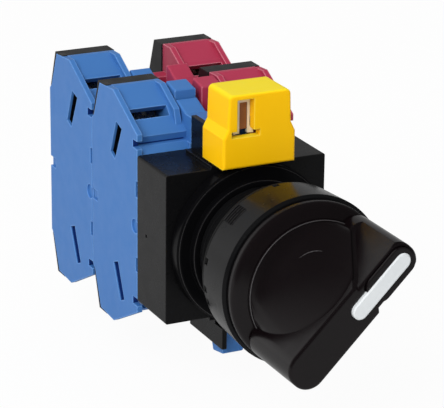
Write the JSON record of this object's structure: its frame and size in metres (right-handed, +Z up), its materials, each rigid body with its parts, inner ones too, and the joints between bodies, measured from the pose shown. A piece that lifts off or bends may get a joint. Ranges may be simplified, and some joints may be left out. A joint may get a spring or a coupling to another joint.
{
  "type": "selector switch",
  "caption": "Panel-mount rotary selector switch with a finned black knob, threaded barrel, mounting adaptor, yellow safety lock and stacked blue and magenta contact blocks.",
  "frame": {"origin": "on the operator's axis, at the rear face of the panel gasket, which is where the front of the panel lies", "axes": "+Y along the operator's axis from the knob towards the contact blocks, +Z up, +X to the right seen from the front"},
  "size_m": [0.03, 0.0907, 0.0484],
  "materials": {
    "knob_black": "satin",
    "insert_white": "satin",
    "bezel_black": "gloss",
    "gasket_rubber": "matte",
    "nut_black": "satin",
    "seal_rubber": "matte",
    "cam_plastic": "matte",
    "spring_steel": "brushed",
    "cover_black": "matte",
    "pusher_plastic": "matte",
    "adaptor_black": "matte",
    "collar_black": "matte",
    "lock_yellow": "satin",
    "leaf_copper": "brushed",
    "case_blue": "satin",
    "case_magenta": "satin",
    "base_black": "matte",
    "terminal_brass": "satin",
    "screw_steel": "satin",
    "plunger_plastic": "matte",
    "bridge_copper": "satin"
  },
  "bodies": {
    "panel_side": {"bezel_housing": "bezel_black", "panel_gasket": "gasket_rubber", "ring_nut": "nut_black", "shaft_seal": "seal_rubber", "detent_spring": "spring_steel", "barrel_cover": "cover_black", "adaptor_housing": "adaptor_black", "locking_collar": "collar_black", "front_no_case": "case_blue", "front_no_base": "base_black", "front_no_upper_terminal": "terminal_brass", "front_no_lower_terminal": "terminal_brass", "front_no_terminal_screws": "screw_steel", "front_no_return_spring": "spring_steel", "front_nc_case": "case_magenta", "front_nc_base": "base_black", "front_nc_upper_terminal": "terminal_brass", "front_nc_lower_terminal": "terminal_brass", "front_nc_terminal_screws": "screw_steel", "front_nc_return_spring": "spring_steel", "rear_no_case": "case_blue", "rear_no_base": "base_black", "rear_no_upper_terminal": "terminal_brass", "rear_no_lower_terminal": "terminal_brass", "rear_no_terminal_screws": "screw_steel", "rear_no_return_spring": "spring_steel", "rear_nc_case": "case_magenta", "rear_nc_base": "base_black", "rear_nc_upper_terminal": "terminal_brass", "rear_nc_lower_terminal": "terminal_brass", "rear_nc_terminal_screws": "screw_steel", "rear_nc_return_spring": "spring_steel"},
    "knob": {"selector_handle": "knob_black", "indicator_insert": "insert_white", "marker_plate": "knob_black", "cam_shaft": "cam_plastic", "shaft_clip": "spring_steel"},
    "lock": {"safety_lock": "lock_yellow", "lock_clip": "spring_steel", "lock_leaf": "leaf_copper"},
    "left_pusher": {"pusher_left": "pusher_plastic"},
    "right_pusher": {"pusher_right": "pusher_plastic"},
    "front_no_plunger_body": {"front_no_plunger": "plunger_plastic", "front_no_contact_bridge": "bridge_copper"},
    "front_nc_plunger_body": {"front_nc_plunger": "plunger_plastic", "front_nc_contact_bridge": "bridge_copper"},
    "rear_no_plunger_body": {"rear_no_plunger": "plunger_plastic", "rear_no_contact_bridge": "bridge_copper"},
    "rear_nc_plunger_body": {"rear_nc_plunger": "plunger_plastic", "rear_nc_contact_bridge": "bridge_copper"}
  },
  "joints": [
    {"name": "handle_turn", "type": "hinge", "parent": "panel_side", "child": "knob", "pos_m": [0, 0, 0], "axis": [0, -1, 0], "range_deg": [0, 90]},
    {"name": "lock_lift", "type": "slide", "parent": "panel_side", "child": "lock", "axis": [0, 0, 1], "range_m": [0, 0.012]},
    {"name": "pusher_left_slide", "type": "slide", "parent": "panel_side", "child": "left_pusher", "axis": [0, 1, 0], "range_m": [-0.00401, 0.0001]},
    {"name": "pusher_right_slide", "type": "slide", "parent": "panel_side", "child": "right_pusher", "axis": [0, 1, 0], "range_m": [-0.00401, 0.0001]},
    {"name": "front_no_plunger_slide", "type": "slide", "parent": "panel_side", "child": "front_no_plunger_body", "axis": [0, 1, 0], "range_m": [-0.00401, 0.0001]},
    {"name": "front_nc_plunger_slide", "type": "slide", "parent": "panel_side", "child": "front_nc_plunger_body", "axis": [0, 1, 0], "range_m": [-0.00401, 0.0001]},
    {"name": "rear_no_plunger_slide", "type": "slide", "parent": "panel_side", "child": "rear_no_plunger_body", "axis": [0, 1, 0], "range_m": [-0.00401, 0.0001]},
    {"name": "rear_nc_plunger_slide", "type": "slide", "parent": "panel_side", "child": "rear_nc_plunger_body", "axis": [0, 1, 0], "range_m": [-0.00401, 0.0001]}
  ],
  "couplings": [
    {"joint": "pusher_left_slide", "follows": "handle_turn", "m_per_rad": -0.0025465},
    {"joint": "pusher_right_slide", "follows": "handle_turn", "m_per_rad": -0.0025465},
    {"joint": "front_no_plunger_slide", "follows": "handle_turn", "m_per_rad": -0.0025465},
    {"joint": "front_nc_plunger_slide", "follows": "handle_turn", "m_per_rad": -0.0025465},
    {"joint": "rear_no_plunger_slide", "follows": "handle_turn", "m_per_rad": -0.0025465},
    {"joint": "rear_nc_plunger_slide", "follows": "handle_turn", "m_per_rad": -0.0025465}
  ]
}
